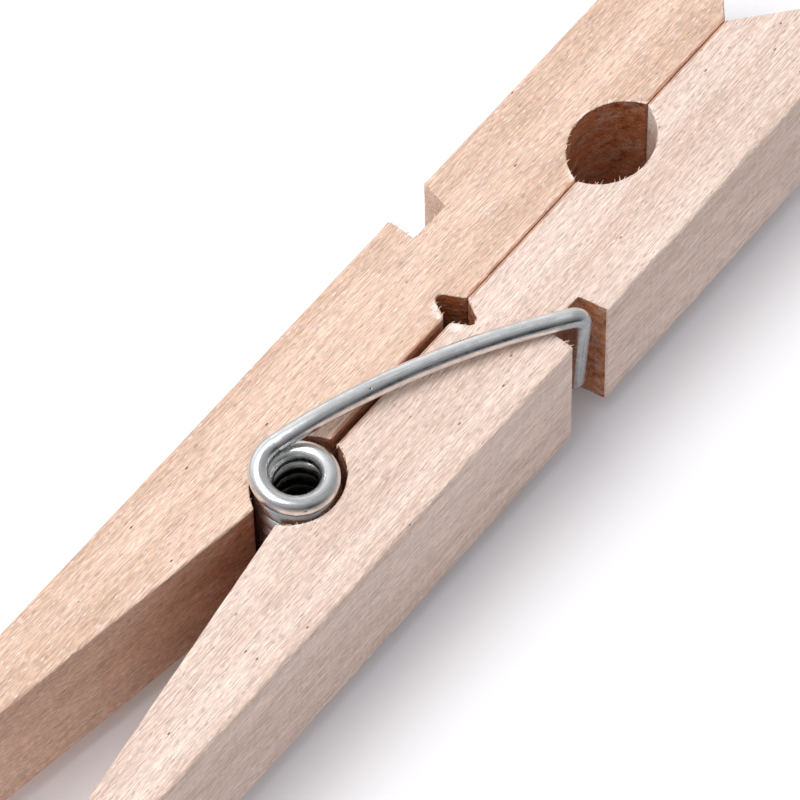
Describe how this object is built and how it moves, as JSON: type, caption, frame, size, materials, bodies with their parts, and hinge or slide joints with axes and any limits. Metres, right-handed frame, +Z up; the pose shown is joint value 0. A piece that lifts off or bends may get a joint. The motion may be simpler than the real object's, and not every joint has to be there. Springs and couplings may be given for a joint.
{
  "type": "clothespin",
  "caption": "Wooden spring clothespin: mirrored legs pivot on a coiled wire spring that holds the jaws shut, with a round line hole and a small wire groove astride the seam.",
  "frame": {"origin": "middle of the pin as it lies on its side: half its length, on the seam between the legs, half its width", "axes": "+X along the pin towards the jaws, +Y out through the left leg's outer face, +Z up across the width, along the spring's coil"},
  "size_m": [0.072, 0.0132, 0.0138],
  "materials": {
    "wood": "bare planed hardwood, pale and fine-grained",
    "spring_wire": "bright galvanised steel wire"
  },
  "bodies": {
    "left_leg": {"left_leg": "wood", "torsion_spring": "spring_wire"},
    "right_leg": {"right_leg": "wood"}
  },
  "joints": [
    {"name": "jaw_hinge", "type": "hinge", "parent": "left_leg", "child": "right_leg", "pos_m": [-0.0064, 0, 0], "axis": [0, 0, -1], "range_deg": [0, 17.5], "stiffness_Nm_per_rad": 0.02, "springref_deg": -68.75, "deforming": ["torsion_spring"]}
  ]
}
